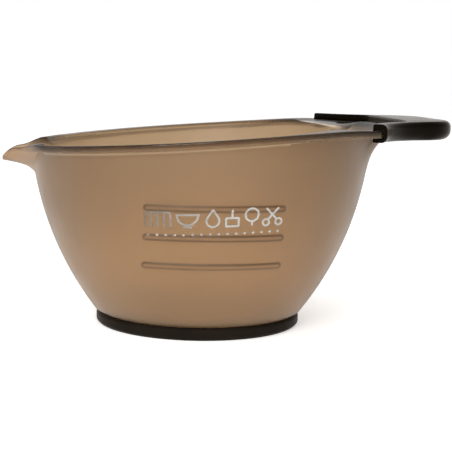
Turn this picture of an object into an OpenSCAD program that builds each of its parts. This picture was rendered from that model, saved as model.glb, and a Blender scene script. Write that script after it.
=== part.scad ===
// Salon tint bowl: a smoke-brown mixing bowl with a pouring spout, a flat handle
// in a rubber grip, and a rubber ring under the foot.
// The spout points to -X, the handle to +X, and the foot stands on z = 0.

/* [Bowl] */
// Outer radius of the wall where it is widest
widest_r = 65.5; // [63:0.5:67]
// Height of the widest point of the wall's arc
widest_z = 80; // [78:1:84]
// Radius of the arc that the wall follows from foot to rim
wall_arc_r = 122; // [118:1:136]
// Thickness of the wall
wall = 1.8; // [1.5:0.1:2.2]
// Height of the bottom edge of the wall, on top of the foot ring
wall_foot_z = 4.8; // [4.6:0.1:5.2]
// Height of the inner floor
floor_z = 5.4; // [5.2:0.1:6]
// Radius of the fillet between the floor and the wall
floor_fillet_r = 8; // [5:0.5:12]

/* [Rim] */
// Height of the rim on the bowl's axis
rim_z = 74.5; // [73:0.1:76]
// Climb of the rim from the spout to the handle, in degrees
rim_tilt = 4.4; // [3.6:0.1:5]
// Height of the flat top of the handle, where the rim stops climbing
tab_z = 78.2; // [77.6:0.1:79]
// Radius of the rim's outer edge
lip_r = 67.7; // [67:0.1:68.5]
// Height of the rim's outer face
lip_h = 2.7; // [2.2:0.1:3]
// Thickness of the rim and the handle behind that face
web_t = 2; // [1.6:0.1:2.2]
// Direction in which the rim's edge leaves the circle for the handle, in degrees
shoulder_angle = 79.4; // [78:0.1:81]
// Length of that straight edge
shoulder_length = 45.9; // [44:0.1:47]

/* [Spout] */
// Distance from the bowl's axis to the tip of the spout
spout_reach = 75.8; // [74:0.1:77]
// Radius of the spout's nose seen from above
spout_nose_r = 3.5; // [3:0.1:4]
// Angle of the spout's sides, from straight across the bowl, in degrees
spout_side_angle = 36; // [33:1:40]
// Height of the spout's tip
spout_tip_z = 62.7; // [62:0.1:64]
// Height of the spout's top edge beside the rim
spout_top_z = 67.7; // [67:0.1:68.5]

/* [Handle] */
// Distance from the bowl's axis to the end of the plastic handle
tab_reach = 91.6; // [90:0.2:94]
// Radius of the handle's two outer corners
tab_corner_r = 18.2; // [15:0.2:20]
// Radius of the hollow curves along the handle's sides
flare_r = 46.8; // [44:0.2:48]
// Centre of those curves, along the handle and across it
flare_centre = [100.9, 75.5];
// Radius of the curve that carries the wall out into the handle
roll_r = 24.5; // [22:0.5:27]
// Height at which that curve leaves the wall
roll_z = 60.5; // [58:0.5:62]
// Half the width of the scoop in front of the handle
scoop_half_w = 26; // [20:0.5:27]

/* [Grip] */
// Thickness of the rubber round the handle's edge
grip_side = 1.8; // [1.2:0.1:2.4]
// Distance from the bowl's axis to the inner end of the grip's window
window_reach = 73; // [70:0.5:76]
// Radius of the window's corners
window_corner_r = 10; // [7:0.5:12]
// Width of the grip's two arms at their ends
arm_w = 5.5; // [4.5:0.1:8]
// Direction of the ends of the two arms from the bowl's axis, in degrees
grip_end_angle = 45.3; // [43:0.1:45.3]
// Height of the grip's top at the ends of the arms and at the tip
grip_top = [80.3, 81];
// Height of the grip's underside at the ends of the arms and at the tip
grip_under = [74, 73.7];

/* [Foot ring] */
// Outer radius of the rubber ring
ring_r = 39.6; // [39:0.1:40]
// Inner radius of the rubber ring
ring_inner_r = 33; // [31:0.5:34]
// Thickness of the rubber under the bowl's foot
ring_base_t = 1.4; // [1.2:0.1:2]

/* [Graduations] */
// Height of the lowest graduation
mark_z = 29.7; // [27:0.1:32]
// Spacing of the graduations
mark_pitch = 10.55; // [10:0.05:11]
// Length of each graduation
mark_length = 49.5; // [40:0.5:52]
// Height of each graduation
mark_h = 2.6; // [2:0.1:3]
// How far the graduations stand out from the wall
mark_relief = 0.5; // [0.3:0.1:0.8]

/* [Hidden] */
$fn = 180;
slack = 1;
// How far curves that would otherwise only touch run into each other
blend = 0.3;
arc_x = widest_r - wall_arc_r;
neck_r = 38.4;
foot_r = 36.2;
foot_wall = 1.8;
root_angle = grip_end_angle + 0.3;
mark_count = 3;
tall = 40;
far = 110;

// Outer radius of the wall at height z
function wall_r(z) = arc_x + sqrt(pow(wall_arc_r, 2) - pow(z - widest_z, 2));
// Centre of a corner of radius r whose end is at reach and whose side just runs into the flare
function corner_centre(reach, r, flare) = [
    reach - r,
    flare_centre.y - sqrt(pow(flare + r - blend, 2) - pow(flare_centre.x - reach + r, 2))];
function mirrored(p, side) = [p.x, side * p.y];

module wall_disc(r, z_low, z_high) {
    intersection() {
        translate([arc_x, widest_z]) circle(r = r, $fn = 720);
        translate([0, z_low]) square([far, z_high - z_low]);
    }
}

module outer_profile() {
    difference() {
        wall_disc(wall_arc_r, wall_foot_z, widest_z);
        polygon([[neck_r, wall_foot_z - slack], [neck_r, wall_foot_z],
                 [wall_r(wall_foot_z) + slack, wall_foot_z + 2 * slack], [far, wall_foot_z - slack]]);
    }
    translate([0, floor_z - 2]) square([foot_r, 2]);
    translate([foot_r - foot_wall, ring_base_t]) square([foot_wall, floor_z - ring_base_t]);
}

module inner_profile() {
    inner_arc = wall_arc_r - wall;
    fillet_z = floor_z + floor_fillet_r;
    fillet_x = arc_x + sqrt(pow(inner_arc - floor_fillet_r, 2) - pow(fillet_z - widest_z, 2));
    lean = (fillet_x - arc_x) / (widest_z - fillet_z);
    difference() {
        wall_disc(inner_arc, floor_z, widest_z + tall);
        difference() {
            polygon([[fillet_x, fillet_z], [fillet_x, floor_z - slack],
                     [fillet_x + lean * (floor_fillet_r + slack), floor_z - slack]]);
            translate([fillet_x, fillet_z]) circle(r = floor_fillet_r + blend / 3);
        }
    }
}

// Everything lower than the rim's top by drop
module under_rim(drop = 0) {
    intersection() {
        translate([0, 0, rim_z - drop]) rotate([0, -rim_tilt, 0])
            translate([-far, -far, -far]) cube([2 * far, 2 * far, far]);
        translate([-far, -far, -far]) cube([2 * far, 2 * far, far + tab_z - drop]);
    }
}

// A tongue towards +X with hollow sides, round corners and a straight end
module tongue(reach, corner_r, flare) {
    corner = corner_centre(reach, corner_r, flare);
    meet = flare_centre + (corner - flare_centre) * (flare - slack) / (flare + corner_r);
    inside = corner + [3, -2];
    root = 92 * [cos(root_angle), sin(root_angle)];
    difference() {
        union() {
            polygon([[0, 0], mirrored(root, -1), mirrored(meet, -1), mirrored(inside, -1), inside, meet,
                     root]);
            for (side = [-1, 1]) translate(mirrored(corner, side)) circle(r = corner_r);
            translate([corner.x - 5, -corner.y]) square([corner_r + 5, 2 * corner.y]);
        }
        for (side = [-1, 1]) translate(mirrored(flare_centre, side)) circle(r = flare, $fn = 360);
    }
}

// The plastic's outline seen from above, larger by grow
module rim_outline(grow = 0) {
    along = [sin(shoulder_angle), -cos(shoulder_angle)];
    leave = (lip_r + grow - blend) * [cos(shoulder_angle), sin(shoulder_angle)];
    end = leave + shoulder_length * along;
    circle(r = lip_r + grow, $fn = 360);
    polygon([mirrored(leave, -1), mirrored(end, -1), end, leave]);
    tongue(tab_reach + grow, tab_corner_r + grow, flare_r - grow);
}

// The rim all round and the flat handle, with the taller edge that closes them
module rim_plate() {
    difference() {
        intersection() {
            translate([0, 0, rim_z - tall]) linear_extrude(2 * tall) rim_outline();
            under_rim();
        }
        under_rim(lip_h);
        intersection() {
            linear_extrude(far) difference() {
                rim_outline(-grip_side);
                difference() { grip_outline(); grip_window(); }
            }
            under_rim(web_t);
        }
    }
}

// Section of the curve that carries the wall out into the handle, grown by grow
module roll_circle(grow = 0) {
    leave = [wall_r(roll_z) - arc_x, roll_z - widest_z];
    translate([arc_x, widest_z] + leave * (wall_arc_r + roll_r - blend) / wall_arc_r)
        circle(r = roll_r + grow, $fn = 360);
}

// The handle's side of a solid of revolution, as wide as the scoop
module on_handle_side(half_w, reach) {
    intersection() {
        rotate_extrude() children();
        translate([0, -half_w, 0]) cube([reach, 2 * half_w, far]);
    }
}

module scoop_outside() {
    on_handle_side(scoop_half_w + wall, far) difference() {
        translate([wall_r(roll_z) - wall / 2, roll_z]) square([15, tab_z - web_t / 2 - roll_z]);
        roll_circle();
    }
}

module scoop_inside() {
    on_handle_side(scoop_half_w, window_reach - grip_side) difference() {
        translate([40, roll_z]) square([40, tall]);
        roll_circle(wall);
    }
}

module across(width) {
    rotate([90, 0, 0]) linear_extrude(width, center = true) children();
}

module spout_plan(inset = 0) {
    r = spout_nose_r - inset;
    centre = [spout_nose_r - spout_reach, 0];
    touch = centre + r * [-cos(spout_side_angle), sin(spout_side_angle)];
    root = touch + 32 * [sin(spout_side_angle), cos(spout_side_angle)];
    translate(centre) circle(r = r);
    polygon([root, touch, mirrored(touch, -1), mirrored(root, -1)]);
}

// Side view of everything above the spout's keel raised by lift
module above_keel(lift = 0) {
    keel = [[-54, 50], [-63.6, 57.4], [-66.4, 60.2], [-spout_reach - slack, spout_tip_z]];
    polygon([for (p = keel) p + [0, lift], [-spout_reach - slack, far], [-54, far]]);
}

// Side view of everything below the spout's round beak
module below_beak() {
    beak_r = 7.5;
    beak_x = beak_r - spout_reach - 0.5;
    translate([beak_x, spout_top_z - beak_r]) circle(r = beak_r);
    translate([beak_x, 40]) square([far, spout_top_z - 40]);
}

module spout_outside() {
    intersection() {
        linear_extrude(far) spout_plan();
        across(far) intersection() { above_keel(); below_beak(); }
    }
}

module spout_inside() {
    intersection() {
        linear_extrude(far) spout_plan(wall - 0.3);
        across(far) above_keel(wall);
    }
}

module graduations() {
    intersection() {
        rotate_extrude() difference() {
            wall_disc(wall_arc_r + mark_relief, wall_foot_z, widest_z);
            wall_disc(wall_arc_r - wall / 2, wall_foot_z, widest_z);
        }
        rotate([90, 0, 0]) linear_extrude(far) for (i = [0 : mark_count - 1])
            translate([0, mark_z + i * mark_pitch]) bar(mark_length, mark_h);
    }
}

module bar(length, height) {
    square([length - height, height], center = true);
    for (side = [-1, 1]) translate([side * (length - height) / 2, 0]) circle(d = height);
}

module bowl_shell() {
    color([0.55, 0.43, 0.32, 0.8]) difference() {
        union() {
            intersection() {
                rotate_extrude() outer_profile();
                under_rim();
            }
            rim_plate();
            scoop_outside();
            spout_outside();
            graduations();
        }
        rotate_extrude() inner_profile();
        scoop_inside();
        spout_inside();
    }
}

module base_ring() {
    groove_w = 0.6;
    groove_deep = 0.4;
    edge = 1.1;
    color([0.13, 0.11, 0.1]) rotate_extrude() difference() {
        polygon([[ring_inner_r, 0], [ring_r - edge, 0], [ring_r, edge], [ring_r, wall_foot_z - edge],
                 [neck_r, wall_foot_z], [foot_r, wall_foot_z], [foot_r, ring_base_t],
                 [foot_r - foot_wall, ring_base_t], [foot_r - foot_wall, floor_z - 2],
                 [ring_inner_r, floor_z - 2]]);
        for (r = [ring_inner_r + 1.2, ring_inner_r + 3.5])
            translate([r, -slack]) square([groove_w, slack + groove_deep]);
    }
}

module grip_outline() {
    intersection() {
        tongue(tab_reach + grip_side, tab_corner_r + grip_side, flare_r - grip_side);
        polygon([[0, 0], far * [cos(grip_end_angle), -sin(grip_end_angle)], [far + 40, 0],
                 far * [cos(grip_end_angle), sin(grip_end_angle)]]);
    }
}

module grip_window() {
    tongue(window_reach, window_corner_r, flare_r - grip_side + arm_w);
}

module handle_grip() {
    root_x = lip_r * cos(grip_end_angle);
    color([0.12, 0.1, 0.09]) difference() {
        intersection() {
            linear_extrude(far) difference() {
                grip_outline();
                grip_window();
            }
            across(2 * far) polygon([
                [root_x, grip_under[0]], [tab_reach + grip_side, grip_under[1]],
                [tab_reach + grip_side, grip_top[1]], [root_x, grip_top[0]]]);
        }
        translate([0, 0, tab_z - lip_h]) linear_extrude(lip_h) rim_outline();
    }
}

bowl_shell();
base_ring();
handle_grip();
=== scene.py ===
import math

import bpy
import numpy as np
from mathutils import Matrix, Vector

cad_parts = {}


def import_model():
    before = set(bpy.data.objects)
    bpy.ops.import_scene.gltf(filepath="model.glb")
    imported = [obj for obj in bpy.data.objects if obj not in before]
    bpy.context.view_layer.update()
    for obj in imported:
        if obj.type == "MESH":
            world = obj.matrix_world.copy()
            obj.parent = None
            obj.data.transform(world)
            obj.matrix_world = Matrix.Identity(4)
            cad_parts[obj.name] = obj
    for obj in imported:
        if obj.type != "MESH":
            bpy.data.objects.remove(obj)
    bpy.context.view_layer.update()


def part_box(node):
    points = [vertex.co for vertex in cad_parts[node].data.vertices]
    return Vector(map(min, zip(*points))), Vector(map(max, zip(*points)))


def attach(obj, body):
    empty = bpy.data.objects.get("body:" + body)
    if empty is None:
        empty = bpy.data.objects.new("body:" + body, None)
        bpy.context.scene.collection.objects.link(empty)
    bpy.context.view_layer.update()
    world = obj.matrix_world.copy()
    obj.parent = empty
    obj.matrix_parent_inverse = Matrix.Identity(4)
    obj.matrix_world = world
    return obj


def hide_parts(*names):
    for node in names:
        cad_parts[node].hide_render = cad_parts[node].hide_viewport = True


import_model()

MM = 0.001

# ---------------------------------------------------------------- the bowl's shape, in millimetres
WALL_T = 1.8
ARC_X, ARC_Z = -56.5, 80.0  # centre of the arc that the wall follows
OUTER_ARC = 122.0
INNER_ARC = OUTER_ARC - WALL_T
RIM_Z, RIM_SLOPE, TAB_Z = 74.5, math.tan(math.radians(4.4)), 78.2
LIP_R, LIP_H, WEB_T, MOUTH_R = 67.7, 2.7, 2.0, 65.0
LIP_MIDDLE = 1.55  # the outer and inner halves of a column meet this far below the rim's top
FLOOR_Z, UNDER_Z, FOOT_R, FOOT_T, FOOT_Z = 5.4, 3.4, 36.2, 1.8, 1.4
NECK_R, NECK_Z = 38.4, 4.8
FILLET_R = 8.0
SPLIT_Z = 54.0  # below this the wall is the same all round
COLUMN_R = 64.0  # a column's nominal angle holds from the axis out to here

# Handle: a tongue is its reach, the radius of its corners and the radius of its hollow sides
SHOULDER = math.radians(79.4)
GRIP_END = math.radians(45.3)
FLARE_C = (100.9, 75.5)
GRIP_SIDE, ARM_W, GRIP_REACH = 1.8, 5.5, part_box("handle_grip")[1][0] / MM
TAB = (GRIP_REACH - GRIP_SIDE, 18.2, 46.8)
GRIP = (GRIP_REACH, TAB[1] + GRIP_SIDE, TAB[2] - GRIP_SIDE)
WINDOW = (73.0, 10.0, GRIP[2] + ARM_W)
ROLL_C, ROLL_R = (87.82, 56.63), 24.5  # the arc that carries the wall out into the handle
SWELL_Z, ROLL_Z = 56.0, 70.0  # the wall starts to swell towards that arc, and meets it
CREASE_START, CREASE_END = 26.3, 47.0  # the crease beside the scoop, from the bowl's middle line

# Spout: seen from above, a round nose between straight sides
SPOUT_REACH = -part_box("bowl_shell")[0][0] / MM
SPOUT_SPAN = math.radians(24)
SPOUT_SIDE = math.radians(36)
NOSE_R = 3.5
NOSE_C = SPOUT_REACH - NOSE_R
NOSE_TURN = math.atan2(NOSE_R * math.sin(SPOUT_SIDE), NOSE_C + NOSE_R * math.cos(SPOUT_SIDE))
SIDE_OFFSET = NOSE_C * math.cos(SPOUT_SIDE) + NOSE_R
# Seen from the side, the rim steps down from the first distance to the second, then rounds over
STEP_DOWN, STEP_FROM, STEP_TO = 1.6, 61.0, 69.2
BEAK_FROM, BEAK_R = 69.6, 7.3
# The keel is a steep line from its foot and a flat one from the tip, with a soft bend between
KEEL_FOOT, KEEL_FOOT_Z, KEEL_STEEP = 57.0, 49.3, 1.37
KEEL_TIP_Z, KEEL_FLAT, KEEL_BEND = 62.4, 0.165, 2.8


def smooth(a, b, x):
    t = min(1.0, max(0.0, (x - a) / (b - a)))
    return t * t * (3 - 2 * t)


def soft_min(a, b, k):
    return 0.5 * (a + b - math.sqrt((a - b) ** 2 + k * k))


def wall_r(z, arc=OUTER_ARC):
    return ARC_X + math.sqrt(arc**2 - (z - ARC_Z) ** 2)


# ---------------------------------------------------------------- outlines seen from above
def flare_distance(angle, radius):
    along = FLARE_C[0] * math.cos(angle) + FLARE_C[1] * math.sin(angle)
    gap = along**2 - FLARE_C[0] ** 2 - FLARE_C[1] ** 2 + radius**2
    return along - math.sqrt(gap) if gap > 0 else None


def tongue(angle, reach, corner_r, flare):
    """Distance from the axis to a tongue with hollow sides, round corners and a straight end."""
    angle = abs(angle)
    cx = reach - corner_r
    cy = FLARE_C[1] - math.sqrt((flare + corner_r) ** 2 - (FLARE_C[0] - cx) ** 2)
    touch_x = FLARE_C[0] + (cx - FLARE_C[0]) * flare / (flare + corner_r)
    touch_y = FLARE_C[1] + (cy - FLARE_C[1]) * flare / (flare + corner_r)
    if angle > math.atan2(touch_y, touch_x):
        return flare_distance(angle, flare)
    if angle < math.atan2(cy, reach):
        return reach / math.cos(angle)
    along = cx * math.cos(angle) + cy * math.sin(angle)
    return along + math.sqrt(along**2 - cx * cx - cy * cy + corner_r**2)


def outline(angle):
    """Distance from the axis to the edge of the plastic. Angle 0 is the handle, pi the spout."""
    angle = abs(angle)
    if angle < GRIP_END:
        return tongue(angle, *TAB)
    if angle < SHOULDER:
        return LIP_R / math.cos(SHOULDER - angle)
    if angle < math.radians(150):
        return LIP_R
    psi = math.pi - angle
    if psi < NOSE_TURN:
        beak = NOSE_C * math.cos(psi) + math.sqrt(NOSE_R**2 - (NOSE_C * math.sin(psi)) ** 2)
    else:
        beak = SIDE_OFFSET / math.cos(psi - SPOUT_SIDE)
    return -soft_min(-beak, -LIP_R, 0.9) if psi > math.radians(5) else beak


def plan_angle(nominal, r):
    """A column leaves the axis at its nominal angle, and runs straight beside the scoop."""
    a = abs(nominal)
    w = 1 - smooth(math.radians(32), math.radians(46), a)
    if w == 0 or r < COLUMN_R:
        return nominal
    beside = math.asin(min(1.0, COLUMN_R * math.sin(a) / r))
    return math.copysign((1 - w) * a + w * beside, nominal)


def edge_distance(nominal):
    lo, hi = 60.0, 100.0
    for _ in range(40):
        mid = (lo + hi) / 2
        if mid < outline(plan_angle(nominal, mid)):
            lo = mid
        else:
            hi = mid
    return lo


# ---------------------------------------------------------------- heights of the rim, spout and handle
def rim_top(x):
    """The rim climbs from spout to handle, and steps down to the spout's round nose."""
    x = max(x, -SPOUT_REACH)
    step = STEP_DOWN * smooth(STEP_FROM, STEP_TO, -x)
    nose = BEAK_R - math.sqrt(BEAK_R**2 - max(0.0, -x - BEAK_FROM) ** 2)
    return soft_min(RIM_Z + x * RIM_SLOPE, TAB_Z + 0.02, 0.25) - step - nose


def keel(x):
    """Height of the spout's underside along its middle."""
    reach = min(max(-x, KEEL_FOOT), SPOUT_REACH)
    steep = KEEL_FOOT_Z + KEEL_STEEP * (reach - KEEL_FOOT)
    flat = KEEL_TIP_Z - KEEL_FLAT * (SPOUT_REACH - reach)
    return soft_min(steep, flat, KEEL_BEND)


def crease_depth(y):
    """Depth below the rim of the crease beside the scoop: a gentle slope that bends down at the scoop."""
    from_scoop, from_end = max(0.0, y - CREASE_START), CREASE_END - max(y, CREASE_START)
    slope = 0.66 + 0.095 * from_end
    bend = 2.7 * math.exp(-0.55 * from_scoop)
    return min(slope + bend, 0.3 * from_end)


def roll_r(z, arc=ROLL_R):
    """Distance from the axis to the arc that carries the wall out into the handle."""
    return ROLL_C[0] - math.sqrt(max(0.0, arc**2 - (z - ROLL_C[1]) ** 2))


def rolled_wall(z):
    """The outside of the wall below the handle, which swells until it meets the arc."""
    if z > ROLL_Z:
        return roll_r(z)
    climb = max(0.0, z - SWELL_Z) / (ROLL_Z - SWELL_Z)
    return wall_r(z) + (roll_r(ROLL_Z) - wall_r(ROLL_Z)) * climb**3.5


def spout_share(x, y):
    """How far up the side of the spout a point is: 0 on the keel, 1 at the edge."""
    half = (SIDE_OFFSET + x * math.cos(SPOUT_SIDE)) / math.sin(SPOUT_SIDE)
    return 1.0 if abs(y) >= half or half <= 0 else (abs(y) / half) ** 1.5


def spout_thick(psi):
    """Thickness of the spout, which is thinnest at the nose."""
    return 1.3 + 1.4 * smooth(math.radians(7), math.radians(21), psi)


def spout_under(r, psi):
    """Height of the spout's underside at distance r, and at angle psi from its middle."""
    x, y = -r * math.cos(psi), r * math.sin(psi)
    top = rim_top(x) - spout_thick(psi)
    return top - (1 - spout_share(x, y)) * max(0.0, top - keel(x))


def spout_over(r, psi):
    """Height of the spout's upper side at distance r, and at angle psi from its middle."""
    x, y = -r * math.cos(psi), r * math.sin(psi)
    level = rim_top(x)
    return min(level, spout_under(r, psi) + 1.9) if spout_share(x, y) < 0.999 else level


def fillet_path(corners):
    """Dense path through (r, z, radius) corners, each rounded with its radius."""
    out = [np.array(corners[0][:2])]
    for i in range(1, len(corners) - 1):
        a, b, c = (np.array(corners[k][:2]) for k in (i - 1, i, i + 1))
        radius = corners[i][2]
        u, v = a - b, c - b
        lu, lv = np.linalg.norm(u), np.linalg.norm(v)
        if radius == 0 or lu < 1e-6 or lv < 1e-6:
            out.append(b)
            continue
        u, v = u / lu, v / lv
        half = math.acos(max(-1.0, min(1.0, float(u @ v)))) / 2
        if half > math.radians(89.5) or half < 1e-3:
            out.append(b)
            continue
        back = min(radius / math.tan(half), 0.48 * lu, 0.48 * lv)
        p, q = b + u * back, b + v * back
        for t in np.linspace(0, 1, 9):  # a conic arc from p to q that leans on b
            w = math.sin(half)
            out.append(((1 - t) ** 2 * p + 2 * t * (1 - t) * w * b + t * t * q)
                       / ((1 - t) ** 2 + 2 * t * (1 - t) * w + t * t))
    out.append(np.array(corners[-1][:2]))
    keep = [out[0]] + [q for p, q in zip(out, out[1:]) if np.linalg.norm(q - p) > 1e-5]
    return np.array(keep)


def resample(path, count, bend=1.6):
    """The path at count points, closer together where it bends."""
    step = np.diff(path, axis=0)
    length = np.linalg.norm(step, axis=1)
    heading = np.unwrap(np.arctan2(step[:, 1], step[:, 0]))
    turn = np.abs(np.diff(heading, prepend=heading[0]))
    turn = 0.5 * (turn + np.append(turn[1:], 0.0))
    measure = np.concatenate([[0.0], np.cumsum(length + bend * turn)])
    at = np.linspace(0.0, measure[-1], count)
    return np.column_stack([np.interp(at, measure, path[:, k]) for k in (0, 1)])


def spout_outer_path(psi, edge, top):
    """The spout's part of outer_path: up the wall, then out along the underside."""
    painted_shade_node = spout_thick(psi)
    r = COLUMN_R
    for _ in range(30):
        r = 0.5 * (r + wall_r(spout_under(r, psi)))
    leave = spout_under(r, psi)
    corners = [(wall_r(z), z, 0) for z in np.linspace(SPLIT_Z, leave - 0.4, 12)]
    corners.append((r, leave, 1.0))
    for t in np.linspace(0.04, 1.0, 30):
        q = r + (edge - r) * t
        corners.append((q, spout_under(q, psi), 0))
    low = corners[-1][1]
    corners[-1] = (edge, low, 0.45 * painted_shade_node)
    return fillet_path(corners + [(edge, (low + top) / 2, 0)])


def outer_path(nominal, edge, roll):
    """From the outside of the wall up and out to the middle of the edge."""
    top = rim_top(edge * math.cos(plan_angle(nominal, edge)))
    psi = math.pi - abs(nominal)
    if psi < SPOUT_SPAN:
        return spout_outer_path(psi, edge, top)
    if roll:
        under = TAB_Z - WEB_T
        corners = [(rolled_wall(z), z, 0) for z in np.linspace(SPLIT_Z, under, 34)]
        corners[-1] = (*corners[-1][:2], 2.0)
    else:
        reach = edge - wall_r(top - LIP_H)
        under = top - LIP_H + (LIP_H - WEB_T) * smooth(3.0, 7.0, reach)
        corners = [(wall_r(z), z, 0) for z in np.linspace(SPLIT_Z, under - 3.0, 16)]
        corners.append((wall_r(under), under, 1.3))
    band = 1.9
    if under > top - LIP_H + 0.05:
        corners += [(edge - band, under, 0.3), (edge - band + 0.05, top - LIP_H, 0.5)]
    corners += [(edge, top - LIP_H, 0.45), (edge, top - LIP_MIDDLE, 0)]
    return fillet_path(corners)


def spout_inner_path(psi, edge, top):
    """The spout's part of inner_path: back over the upper side, then down the wall."""
    low = spout_under(edge, psi)
    corners = [(edge, (low + top) / 2, 0), (edge, top, 0.45 * spout_thick(psi))]
    mouth = COLUMN_R + (MOUTH_R - COLUMN_R) * smooth(math.radians(16), SPOUT_SPAN, psi)
    r = mouth
    for _ in range(30):
        r = 0.5 * (r + min(mouth, wall_r(spout_over(r, psi), INNER_ARC) + mouth - 63.6))
    stop = spout_over(r, psi)
    for t in np.linspace(0.06, 0.96, 26):
        q = edge + (r - edge) * t
        corners.append((q, spout_over(q, psi), 0))
    corners.append((r, stop, 0.7))
    corners.append((wall_r(stop - 2.2, INNER_ARC), stop - 2.2, 1.0))
    corners += [(wall_r(z, INNER_ARC), z, 0) for z in np.linspace(stop - 3.0, SPLIT_Z, 14)]
    return fillet_path(corners)


def inner_path(nominal, edge, scoop):
    """From the middle of the edge over the top and down the inside of the wall."""
    angle = plan_angle(nominal, edge)
    top = rim_top(edge * math.cos(angle))
    psi = math.pi - abs(nominal)
    if psi < SPOUT_SPAN:
        return spout_inner_path(psi, edge, top)
    corners = [(edge, top - LIP_MIDDLE, 0), (edge, top, 1.2)]
    if scoop:
        arc = ROLL_R + WALL_T
        corners.append((roll_r(TAB_Z, arc), TAB_Z, 0.6))
        corners += [(roll_r(z, arc), z, 0) for z in np.linspace(TAB_Z - 0.6, 62.0, 26)]
        corners += [(wall_r(z, INNER_ARC), z, 0) for z in np.linspace(60.0, SPLIT_Z, 6)]
        return fillet_path(corners)
    lean = 0.3  # the lip's top leans in by this much
    y = abs(COLUMN_R * math.sin(nominal))
    if math.cos(nominal) > 0 and y < CREASE_END:
        drop = max(crease_depth(y), lean)
        inner = min(edge - 3.0, max(tongue(angle, *WINDOW) - 1.0, MOUTH_R + 2.0))
        for t in np.linspace(0.0, 1.0, 12):
            q = inner + (MOUTH_R - inner) * t
            corners.append((q, top - lean - (drop - lean) * smooth(0.0, 1.0, t), 0))
        mouth_top = top - drop
        flare = smooth(44.0, CREASE_END, y)
        corners[-1] = (COLUMN_R + flare * (MOUTH_R - COLUMN_R), mouth_top, 0.35 + 0.35 * flare)
    else:
        mouth_top = top - lean
        corners.append((MOUTH_R, mouth_top, 1.0))
    corners.append((wall_r(mouth_top - 2.2, INNER_ARC), mouth_top - 2.2, 1.5))
    corners += [(wall_r(z, INNER_ARC), z, 0) for z in np.linspace(mouth_top - 4.0, SPLIT_Z, 14)]
    return fillet_path(corners)


# ---------------------------------------------------------------- graduations
MARKS = [29.7 + 10.55 * i for i in range(3)]
MARK_HALF, MARK_END, MARK_RELIEF = 24.75, 1.3, 0.5


def mark_inside(x, z):
    """How far inside the outline of the nearest level mark a point of the wall is."""
    off = min((z - m for m in MARKS), key=abs)
    return MARK_END - math.hypot(max(abs(x) - MARK_HALF + MARK_END, 0.0), off)


def relief(x, y, z):
    """How far the raised level marks stand out at a point of the wall."""
    return 0.0 if y > 0 else MARK_RELIEF * smooth(0.0, 0.7, mark_inside(x, z))


def painted_shade(x, y, z, r):
    """How light the plastic looks at a point: painted shade, painted to match the photo, darker at edges and
    hollows.
    """
    h = z - rim_top(x)
    light = 1.0
    # Painted shade: dark outlines along the level marks' edges; the slight darkening inside a mark is its
    # thicker plastic.
    if y < 0 and r > wall_r(z) - 0.5 and z < SPLIT_Z:
        inside = mark_inside(x, z)
        deep = 0.58 if z < 35.0 else 0.68
        light -= deep * math.exp(-((inside - 0.42) / 0.42) ** 2) + 0.12 * smooth(0.3, 0.9, inside)
    spout = smooth(58.0, 64.0, -x)
    near, full = (2.4 - 1.9 * spout, -1.1 + 0.8 * spout) if r > 66.0 else (1.7 - 1.2 * spout, -0.3)
    # Painted shade: the wall darker towards the top and lighter low down, where the floor lights it, except
    # at the spout.
    light *= 1 - 0.24 * (1 - spout) * smooth(15.0, 65.0, z)
    # Painted shade: a dark band along the top of the rim, thinner at the spout.
    light *= 1 - 0.75 * smooth(-near, full, h)
    # Painted shade: a dark line under the lip.
    if r > 66.2 and x > -58:
        light *= 1 - 0.35 * math.exp(-((h + 2.65) / 0.32) ** 2)
    # Painted shade: a dark spot where the rim runs into the spout.
    light *= 1 - 0.7 * spout_root(x) * smooth(-2.8, -1.2, h)
    # Painted shade on the scoop and on the handle's top, where the black grip stands behind the plastic.
    return light * (1 - 0.62 * in_hollow(x, y, z, r))


def spout_root(x):
    """1 where the rim runs into the spout, where a dark spot of shade is painted."""
    return math.exp(-((x + 60.0) / 4.0) ** 2)


def in_hollow(x, y, z, r):
    """1 on the scoop and on the handle's top, 0 elsewhere."""
    arc = roll_r(z, ROLL_R + WALL_T)
    scoop = smooth(-30.0, -27.5, -abs(y)) * smooth(63.0, 68.0, z) if x > 55.0 and r < arc + 0.4 else 0.0
    plate = smooth(38.0, 52.0, x) if r > 64.6 and z > rim_top(x) - 0.7 else 0.0
    return max(scoop, plate)


def polish(x, y, z, r):
    """1 where the plastic is glossy, on the outside of the rim, and 0 where it is frosted."""
    h = z - rim_top(x)
    rim = smooth(-3.6, -2.6, h) if r > wall_r(min(z, 80.0)) - 0.9 else smooth(-1.4, -0.4, h)
    dull = max(smooth(50.0, 56.0, -x), 0.9 * smooth(0.0, 30.0, x) * smooth(-1.0, -0.4, h))
    hollow = in_hollow(x, y, z, r)
    return rim * (1 - dull) * (1 - hollow) + 0.1 * hollow


# ---------------------------------------------------------------- meshes
def mesh_object(name, verts, faces, sharp=40):
    mesh = bpy.data.meshes.new(name)
    mesh.from_pydata([tuple(v) for v in np.asarray(verts) * MM], [], faces)
    mesh.validate()
    mesh.polygons.foreach_set("use_smooth", [True] * len(mesh.polygons))
    mesh.set_sharp_from_angle(angle=math.radians(sharp))
    obj = bpy.data.objects.new(name, mesh)
    bpy.context.scene.collection.objects.link(obj)
    return obj


def grid_faces(columns, rows, closed_columns=True, closed_rows=False):
    faces = []
    for j in range(columns if closed_columns else columns - 1):
        k = (j + 1) % columns
        for i in range(rows if closed_rows else rows - 1):
            n = (i + 1) % rows
            faces.append((j * rows + i, k * rows + i, k * rows + n, j * rows + n))
    return faces


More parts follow.
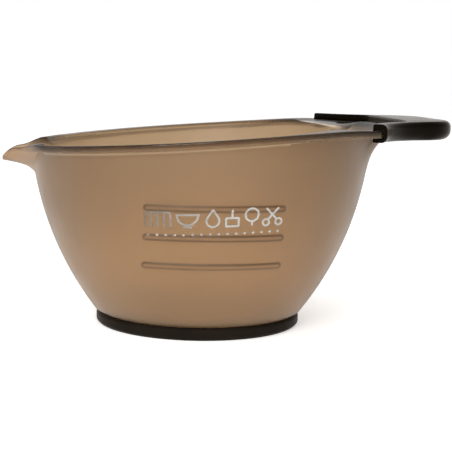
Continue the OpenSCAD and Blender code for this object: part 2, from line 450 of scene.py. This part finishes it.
def column_angles():
    """Nominal angles round the bowl, closer together at the marks' ends, scoop, grip and spout."""
    fine = [(-120, -112, 0.35), (-68, -60, 0.35), (-30, -22, 0.3), (22, 30, 0.3), (156, 204, 0.6),
            (-47, -44, 0.5), (44, 47, 0.5)]  # from, to and step, in degrees
    angles, a = [], -135.0
    while a < 225.0 - 1e-6:
        angles.append(a)
        step = 1.2
        for lo, hi, s in fine:
            if lo <= a < hi or lo <= a - 360 < hi:
                step = min(step, s)
        a += step
    return [math.radians((a + 180.0) % 360.0 - 180.0) for a in angles]


def wall_heights():
    """Heights of the rows of the plain wall, closer together at the marks."""
    heights = [h for lo, hi in ((7.0, 28.0), (31.8, 38.5), (42.3, 49.0)) for h in np.arange(lo, hi, 1.5)]
    for m in MARKS:
        heights += list(np.arange(m - 1.5, m + 1.51, 0.25))
    heights = sorted(h for h in heights if h < SPLIT_Z - 0.3)
    return [h for i, h in enumerate(heights) if i == 0 or h - heights[i - 1] > 0.12]


def bowl_mesh():
    angles = column_angles()
    heights = wall_heights()
    fillet_z = FLOOR_Z + FILLET_R
    fillet_x = ARC_X + math.sqrt((INNER_ARC - FILLET_R) ** 2 - (fillet_z - ARC_Z) ** 2)
    lean = math.atan2(ARC_Z - fillet_z, fillet_x - ARC_X)
    low_wall = ARC_Z - INNER_ARC * math.sin(lean)
    foot = fillet_path([(12.0, UNDER_Z, 0), (FOOT_R - FOOT_T, UNDER_Z, 0.4), (FOOT_R - FOOT_T, FOOT_Z, 0.3),
                        (FOOT_R, FOOT_Z, 0.3), (FOOT_R, NECK_Z, 0.2), (NECK_R, NECK_Z, 0.35),
                        (wall_r(6.0), 6.0, 0)])
    foot = resample(foot, 30)
    verts = []
    rows = None
    for nominal in angles:
        edge = edge_distance(nominal)
        y = abs(COLUMN_R * math.sin(nominal)) if math.cos(nominal) > 0 else 99.0
        outer = resample(outer_path(nominal, edge, False), 52)
        w = 1 - smooth(23.0, 33.0, y)
        if w > 0:
            outer = (1 - w) * outer + w * resample(outer_path(nominal, edge, True), 52)
        inner = resample(inner_path(nominal, edge, False), 60)
        w = 1 - smooth(25.4, 26.6, y)
        if w > 0:
            inner = (1 - w) * inner + w * resample(inner_path(nominal, edge, True), 60)
        column = [tuple(p) for p in foot]
        column += [(wall_r(z), z) for z in heights]
        column += [tuple(p) for p in outer]
        column += [tuple(p) for p in inner[1:]]
        column += [(wall_r(z, INNER_ARC), z) for z in np.arange(SPLIT_Z - 2.5, low_wall + 1.0, -2.5)]
        for t in np.linspace(0.0, 1.0, 9):
            a = -lean + t * (lean - math.pi / 2)
            column.append((fillet_x + FILLET_R * math.cos(a), fillet_z + FILLET_R * math.sin(a)))
        column += [(24.0, FLOOR_Z), (12.0, FLOOR_Z)]
        rows = len(column)
        for r, z in column:
            a = plan_angle(nominal, r)
            if NECK_Z < z < SPLIT_Z + 0.2 and abs(r - wall_r(z)) < 0.01:
                r += relief(r * math.cos(a), r * math.sin(a), z)
            verts.append((r * math.cos(a), r * math.sin(a), z))
    n = len(angles)
    faces = grid_faces(n, rows)
    verts += [(0.0, 0.0, UNDER_Z), (0.0, 0.0, FLOOR_Z)]
    for j in range(n):
        k = (j + 1) % n
        faces.append((n * rows, k * rows, j * rows))
        faces.append((n * rows + 1, j * rows + rows - 1, k * rows + rows - 1))
    bowl = mesh_object("bowl", verts, faces, 50)
    # The painted shade is stored on the mesh's points.
    shade = bowl.data.attributes.new("painted_shade", "FLOAT", "POINT")
    shade.data.foreach_set("value", [painted_shade(x, y, z, math.hypot(x, y)) for x, y, z in verts])
    shine = bowl.data.attributes.new("polish", "FLOAT", "POINT")
    shine.data.foreach_set("value", [polish(x, y, z, math.hypot(x, y)) for x, y, z in verts])
    return bowl


def inset_loop(loop, amount):
    """A closed anticlockwise loop moved inwards."""
    before, after = np.roll(loop, 1, axis=0), np.roll(loop, -1, axis=0)
    along = after - before
    along /= np.linalg.norm(along, axis=1)[:, None]
    return loop + amount * np.column_stack([-along[:, 1], along[:, 0]])


SLOT_TOP, SLOT_LOW = TAB_Z + 0.04, TAB_Z - LIP_H - 0.04  # the slot that the handle's edge sits in
ARM_X = 47.6  # the outer corners of the arms' ends


def grip_section(angle):
    """The C of rubber that holds the handle's edge, as an anticlockwise (r, z) loop."""
    a = abs(angle)
    inner, outer, slot = tongue(a, *WINDOW), tongue(a, *GRIP), tongue(a, *TAB) + 0.04
    share = (outer * math.cos(a) - ARM_X) / (GRIP_REACH - ARM_X)
    top, low = 80.3 + 0.7 * share, 74.0 - 0.15 * share
    corners = [
        (inner + 0.02, SLOT_TOP, 0), (inner, SLOT_TOP, 0.2), (slot, SLOT_TOP, 0.15),
        (slot, SLOT_LOW, 0.15), (inner, SLOT_LOW, 0.2),
        (inner, low, 0.4), (outer, low, 2.1 + 1.9 * share), (outer, top, 2.4),
        (inner, top, 0.9), (inner, TAB_Z + 0.1, 0),
    ]
    return fillet_path(corners)


def grip_mesh():
    end = math.degrees(GRIP_END)
    between = 132
    bevel = [(0.0, 0.34), (0.05, 0.16), (0.13, 0.05), (0.26, 0.0)]  # degrees from the end, inset
    angles = [-end + a for a, _ in bevel] + list(np.linspace(-end + 0.8, end - 0.8, between))
    angles += [end - a for a, _ in reversed(bevel)]
    insets = [i for _, i in bevel] + [0.0] * between + [i for _, i in reversed(bevel)]
    verts, rows = [], None
    for a, amount in zip(angles, insets):
        a = math.radians(a)
        loop = grip_section(a)
        if amount:
            loop = inset_loop(loop, amount)
        rows = len(loop)
        verts += [(r * math.cos(a), r * math.sin(a), z) for r, z in loop]
    n = len(angles)
    faces = grid_faces(n, rows, closed_columns=False, closed_rows=True)
    faces.append(tuple(range(rows)))
    faces.append(tuple((n - 1) * rows + i for i in reversed(range(rows))))
    return mesh_object("grip", verts, faces, 35)


def groove(start):
    """A groove in the underside of the foot ring, from its inner side outwards."""
    return [(start, 0.0, 0.15), (start + 0.05, 0.4, 0.15),
            (start + 0.55, 0.4, 0.15), (start + 0.6, 0.0, 0.15)]


def ring_mesh():
    bore, outside, seat = 33.0, 39.6, UNDER_Z - 0.04
    corners = [(bore, seat, 0), (bore, 0.0, 0.5), *groove(34.2), *groove(36.5), (38.5, 0.0, 0.9),
               (outside, 1.1, 0.9), (outside, 3.8, 0.8), (38.55, 4.78, 0.35), (FOOT_R + 0.03, 4.76, 0.1),
               (FOOT_R + 0.03, FOOT_Z - 0.03, 0.1), (FOOT_R - FOOT_T - 0.03, FOOT_Z - 0.03, 0.1),
               (FOOT_R - FOOT_T - 0.03, seat, 0.1), (bore + 0.01, seat, 0)]
    path = fillet_path(corners)
    n, rows = 240, len(path)
    verts = []
    for j in range(n):
        a = 2 * math.pi * j / n
        verts += [(r * math.cos(a), r * math.sin(a), z) for r, z in path]
    return mesh_object("foot_ring", verts, grid_faces(n, rows, closed_rows=True), 35)


# ---------------------------------------------------------------- silver print
PRINT_CENTRE, PRINT_TILT = (-0.5, 47.6), math.radians(2.2)


def on_wall(s, t, lift):
    """A point of the print's own flat drawing, laid on the front of the wall."""
    x = PRINT_CENTRE[0] + s * math.cos(PRINT_TILT) - t * math.sin(PRINT_TILT)
    z = PRINT_CENTRE[1] + s * math.sin(PRINT_TILT) + t * math.cos(PRINT_TILT)
    r = wall_r(z)
    y = -math.sqrt(r * r - x * x)
    r += relief(x, y, z) + lift
    return x, -math.sqrt(r * r - x * x), z


def ribbon(path, width, level):
    """A thin raised line of ink along a path in the drawing."""
    path = np.array(path, float)
    closed = np.linalg.norm(path[0] - path[-1]) < 1e-6
    length = np.concatenate([[0.0], np.cumsum(np.linalg.norm(np.diff(path, axis=0), axis=1))])
    count = max(4, int(length[-1] / 0.3))
    at = np.linspace(0.0, length[-1], count + 1)
    pts = np.column_stack([np.interp(at, length, path[:, k]) for k in (0, 1)])
    if closed:
        pts = pts[:-1]
        along = np.roll(pts, -1, axis=0) - np.roll(pts, 1, axis=0)
        widths = np.ones(len(pts))
    else:
        along = np.gradient(pts, axis=0)
        near = np.minimum(at, length[-1] - at) / (width / 2)
        widths = np.sqrt(np.clip(1 - (1 - np.clip(near, 0.02, 1)) ** 2, 0, 1))
    along /= np.linalg.norm(along, axis=1)[:, None]
    across = np.column_stack([-along[:, 1], along[:, 0]])
    verts = []
    for p, n, w in zip(pts, across, widths):
        for side, lift in ((-1, -0.05), (-1, level), (0, level + 0.01), (1, level), (1, -0.05)):
            q = p + n * side * w * width / 2
            verts.append(on_wall(q[0], q[1], lift))
    faces = grid_faces(len(pts), 5, closed_columns=closed, closed_rows=True)
    if not closed:
        faces += [tuple(range(5)), tuple((len(pts) - 1) * 5 + i for i in reversed(range(5)))]
    return verts, faces


def arc_points(cx, cy, r, a0, a1, steps=24):
    return [(cx + r * math.cos(math.radians(a0 + (a1 - a0) * i / steps)),
             cy + r * math.sin(math.radians(a0 + (a1 - a0) * i / steps))) for i in range(steps + 1)]


def print_mesh():
    """A row of line drawings of salon tools, above a row of dots."""
    lines = []
    # comb
    lines += [[(-23.4, 2.4), (-15.0, 2.4)]]
    lines += [[(x, 2.4), (x, -2.9)] for x in (-23.4, -21.3, -19.2, -17.1, -15.0)]
    # mixing bowl
    lines += [arc_points(-9.2, 1.4, 3.6, 180, 360), [(-13.4, 1.4), (-5.0, 1.4)]]
    lines += [[(-10.9, -2.9), (-7.5, -2.9)]]
    # drop
    drop = [(-0.6, 3.1)] + arc_points(-0.6, -0.8, 2.2, 30, -210, 28) + [(-0.6, 3.1)]
    lines += [drop]
    # brush
    lines += [[(3.9, -2.9), (8.3, -2.9), (8.3, 0.0), (3.9, 0.0), (3.9, -2.9)], [(6.1, 0.0), (6.1, 3.1)]]
    # mirror
    lines += [arc_points(13.0, 0.9, 2.3, 0, 360, 36), [(13.0, -1.4), (13.0, -3.1)]]
    # scissors
    lines += [[(18.0, 3.1), (21.9, -1.2)], [(22.6, 3.1), (18.7, -1.2)]]
    lines += [arc_points(18.0, -2.1, 1.15, 0, 360, 24), arc_points(22.6, -2.1, 1.15, 0, 360, 24)]
    verts, faces = [], []
    for i, line in enumerate(lines):
        v, f = ribbon(line, 0.72, 0.05 + 0.004 * (i % 5))
        faces += [tuple(k + len(verts) for k in face) for face in f]
        verts += v
    for i in range(16):
        s = -22.5 + 3.0 * i
        v, f = ribbon([(s - 0.5, -5.6), (s + 0.5, -5.6)], 0.8, 0.05)
        faces += [tuple(k + len(verts) for k in face) for face in f]
        verts += v
    return mesh_object("print", verts, faces, 30)


# ---------------------------------------------------------------- materials
def material(name):
    mat = bpy.data.materials.new(name)
    mat.use_nodes = True
    tree = mat.node_tree
    return mat, tree, tree.nodes["Principled BSDF"]


def node(tree, kind, **values):
    n = tree.nodes.new(kind)
    for key, value in values.items():
        if key in n.inputs:
            n.inputs[key].default_value = value
        else:
            setattr(n, key, value)
    return n


def noise(tree, scale, detail=3.0, rough=0.5):
    coords = node(tree, "ShaderNodeTexCoord")
    n = node(tree, "ShaderNodeTexNoise", Scale=scale, Detail=detail, Roughness=rough)
    tree.links.new(coords.outputs["Object"], n.inputs["Vector"])
    return n.outputs["Fac"]


def ramp(tree, source, stops):
    r = tree.nodes.new("ShaderNodeValToRGB")
    el = r.color_ramp.elements
    while len(el) < len(stops):
        el.new(0.5)
    for e, (pos, colour) in zip(el, stops):
        e.position = pos
        e.color = (*colour, 1.0)
    tree.links.new(source, r.inputs["Fac"])
    return r.outputs["Color"]


def multiply(tree, first, second):
    m = node(tree, "ShaderNodeMix", data_type="RGBA", blend_type="MULTIPLY")
    m.inputs["Factor"].default_value = 1.0
    tree.links.new(first, m.inputs[6])
    tree.links.new(second, m.inputs[7])
    return m.outputs[2]


def grain(tree, bsdf, scale, strength, distance):
    bump = node(tree, "ShaderNodeBump", Strength=strength, Distance=distance)
    tree.links.new(noise(tree, scale, 2.0), bump.inputs["Height"])
    tree.links.new(bump.outputs["Normal"], bsdf.inputs["Normal"])
    return bump


def to_range(tree, source, low, high, from_low=0.3, from_high=0.7):
    m = node(tree, "ShaderNodeMapRange")
    m.inputs["From Min"].default_value = from_low
    m.inputs["From Max"].default_value = from_high
    m.inputs["To Min"].default_value = low
    m.inputs["To Max"].default_value = high
    tree.links.new(source, m.inputs["Value"])
    return m.outputs["Result"]


def smoke_plastic():
    mat, tree, bsdf = material("smoke_plastic")
    colour = ramp(tree, noise(tree, 26.0, 3.0), [(0.3, (0.64, 0.465, 0.28)), (0.7, (0.69, 0.505, 0.31))])
    # Painted shade from the bowl's mesh darkens the base colour.
    painted_shade_node = node(tree, "ShaderNodeAttribute", attribute_name="painted_shade")
    dark = ramp(tree, painted_shade_node.outputs["Fac"], [(0.0, (0.02, 0.012, 0.008)), (1.0, (1.0, 1.0, 1.0))])
    tree.links.new(multiply(tree, colour, dark), bsdf.inputs["Base Color"])
    shine = node(tree, "ShaderNodeAttribute", attribute_name="polish")
    rough = node(tree, "ShaderNodeMix", data_type="FLOAT")
    tree.links.new(shine.outputs["Fac"], rough.inputs["Factor"])
    tree.links.new(to_range(tree, noise(tree, 90.0), 0.34, 0.42), rough.inputs["A"])
    tree.links.new(to_range(tree, noise(tree, 240.0), 0.04, 0.07), rough.inputs["B"])
    tree.links.new(rough.outputs["Result"], bsdf.inputs["Roughness"])
    bsdf.inputs["Transmission Weight"].default_value = 0.84
    bsdf.inputs["IOR"].default_value = 1.3
    depth = node(tree, "ShaderNodeVolumeAbsorption", Color=(0.62, 0.46, 0.30, 1.0), Density=250.0)
    tree.links.new(depth.outputs["Volume"], tree.nodes["Material Output"].inputs["Volume"])
    bump = grain(tree, bsdf, 2200.0, 0.12, 0.00008)
    tree.links.new(to_range(tree, shine.outputs["Fac"], 0.12, 0.0, 0.0, 1.0), bump.inputs["Strength"])
    return mat


def rubber(name, base, rough, strength):
    mat, tree, bsdf = material(name)
    dark, light = [tuple(c * k for c in base) for k in (0.8, 1.25)]
    colour = ramp(tree, noise(tree, 60.0), [(0.3, dark), (0.7, light)])
    tree.links.new(colour, bsdf.inputs["Base Color"])
    tree.links.new(to_range(tree, noise(tree, 140.0), rough - 0.05, rough + 0.05), bsdf.inputs["Roughness"])
    bsdf.inputs["Specular IOR Level"].default_value = 0.02
    bsdf.inputs["Sheen Weight"].default_value = 0.1
    bsdf.inputs["Sheen Roughness"].default_value = 0.3
    bsdf.inputs["Sheen Tint"].default_value = (1.0, 0.78, 0.55, 1)
    grain(tree, bsdf, 1500.0, strength, 0.0001)
    return mat


def silver():
    mat, tree, bsdf = material("silver_print")
    colour = ramp(tree, noise(tree, 350.0), [(0.3, (0.36, 0.34, 0.31)), (0.7, (0.46, 0.44, 0.41))])
    split = node(tree, "ShaderNodeSeparateXYZ")
    tree.links.new(node(tree, "ShaderNodeTexCoord").outputs["Object"], split.inputs["Vector"])
    # The print is darker and browner towards its left end.
    left_darkening = ramp(tree, to_range(tree, split.outputs["X"], 0.0, 1.0, -0.024, 0.006),
                [(0.0, (0.42, 0.36, 0.30)), (1.0, (1.0, 1.0, 1.0))])
    mix = multiply(tree, colour, left_darkening)
    tree.links.new(mix, bsdf.inputs["Base Color"])
    tree.links.new(to_range(tree, noise(tree, 700.0), 0.36, 0.46), bsdf.inputs["Roughness"])
    bsdf.inputs["Metallic"].default_value = 0.8
    return mat


# ---------------------------------------------------------------- pieces
def place(obj, mat, slot, *nodes):
    obj.data.materials.append(mat)
    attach(obj, "root")
    if nodes:
        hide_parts(*nodes)


place(bowl_mesh(), smoke_plastic(), "smoke_plastic", "bowl_shell")
place(grip_mesh(), rubber("grip_rubber", (0.0036, 0.0024, 0.0012), 0.25, 0.15), "grip_rubber", "handle_grip")
place(ring_mesh(), rubber("ring_rubber", (0.012, 0.009, 0.0065), 0.48, 0.25), "ring_rubber", "base_ring")
place(print_mesh(), silver(), "silver_print")


# ---------------------------------------------------------------- stage
def floor():
    mesh = bpy.data.meshes.new("floor")
    n, r = 96, 6.0
    verts = [(r * math.cos(2 * math.pi * i / n), r * math.sin(2 * math.pi * i / n), 0.0) for i in range(n)]
    mesh.from_pydata(verts, [], [tuple(range(n))])
    obj = bpy.data.objects.new("floor", mesh)
    bpy.context.scene.collection.objects.link(obj)
    mat, _, bsdf = material("floor")
    bsdf.inputs["Base Color"].default_value = (0.93, 0.93, 0.93, 1)
    bsdf.inputs["Roughness"].default_value = 0.9
    bsdf.inputs["Emission Color"].default_value = (1, 1, 1, 1)
    bsdf.inputs["Emission Strength"].default_value = 0.43
    mesh.materials.append(mat)


def area_light(name, where, size, power):
    """A square white light that points at the middle of the bowl."""
    data = bpy.data.lights.new(name, "AREA")
    data.shape, data.size, data.energy = "SQUARE", size, power
    obj = bpy.data.objects.new(name, data)
    obj.location = where
    obj.rotation_euler = (Vector((0.0, 0.0, 0.04)) - Vector(where)).to_track_quat("-Z", "Y").to_euler()
    bpy.context.scene.collection.objects.link(obj)


def grey(level):
    return (level, level, level)


def world():
    """White at the horizon, and dimmer high up in front and to the sides."""
    w = bpy.data.worlds.new("studio")
    w.use_nodes = True
    tree = w.node_tree
    split = node(tree, "ShaderNodeSeparateXYZ")
    tree.links.new(node(tree, "ShaderNodeTexCoord").outputs["Generated"], split.inputs["Vector"])
    across = to_range(tree, split.outputs["X"], 0.0, 1.0, -1.0, 1.0)
    sides = ramp(tree, across, [(0.15, grey(0.6)), (0.35, grey(1)), (0.66, grey(1)), (0.8, grey(0.35))])
    along = to_range(tree, split.outputs["Y"], 0.0, 1.0, -1.0, 1.0)
    front = ramp(tree, along, [(0.3, grey(0.6)), (0.85, grey(1))])
    high = to_range(tree, split.outputs["Z"], 0.0, 1.0, 0.1, 0.3)
    soft = node(tree, "ShaderNodeMix", data_type="RGBA")
    tree.links.new(high, soft.inputs["Factor"])
    soft.inputs[6].default_value = (1, 1, 1, 1)
    tree.links.new(multiply(tree, sides, front), soft.inputs[7])
    tree.links.new(soft.outputs[2], tree.nodes["Background"].inputs["Color"])
    tree.nodes["Background"].inputs["Strength"].default_value = 1.0
    bpy.context.scene.world = w


CAMERA_AT, CAMERA_LENS = (-0.04397, -0.46516, 0.09652), 95.86  # fitted to the photo
CAMERA_YAW, CAMERA_PITCH, CAMERA_ROLL = 6.69, 7.2, 1.306


def camera():
    yaw, pitch, roll = (math.radians(a) for a in (CAMERA_YAW, CAMERA_PITCH, CAMERA_ROLL))
    ahead = Vector((math.sin(yaw) * math.cos(pitch), math.cos(yaw) * math.cos(pitch), -math.sin(pitch)))
    right = Vector((math.cos(yaw), -math.sin(yaw), 0.0))
    up = right.cross(ahead)
    right, up = (
        math.cos(roll) * right + math.sin(roll) * up,
        -math.sin(roll) * right + math.cos(roll) * up,
    )
    data = bpy.data.cameras.new("camera")
    data.lens, data.sensor_width = CAMERA_LENS, 36.0
    obj = bpy.data.objects.new("camera", data)
    turn = Matrix((right, up, -ahead)).transposed().to_4x4()
    obj.matrix_world = Matrix.Translation(CAMERA_AT) @ turn
    bpy.context.scene.collection.objects.link(obj)
    bpy.context.scene.camera = obj


floor()
world()
area_light("key", (-0.3, -0.9, 0.55), 0.7, 9.5)
area_light("top", (0.1, 0.25, 1.1), 1.0, 2.0)
camera()
bpy.context.scene.view_settings.view_transform = "Standard"
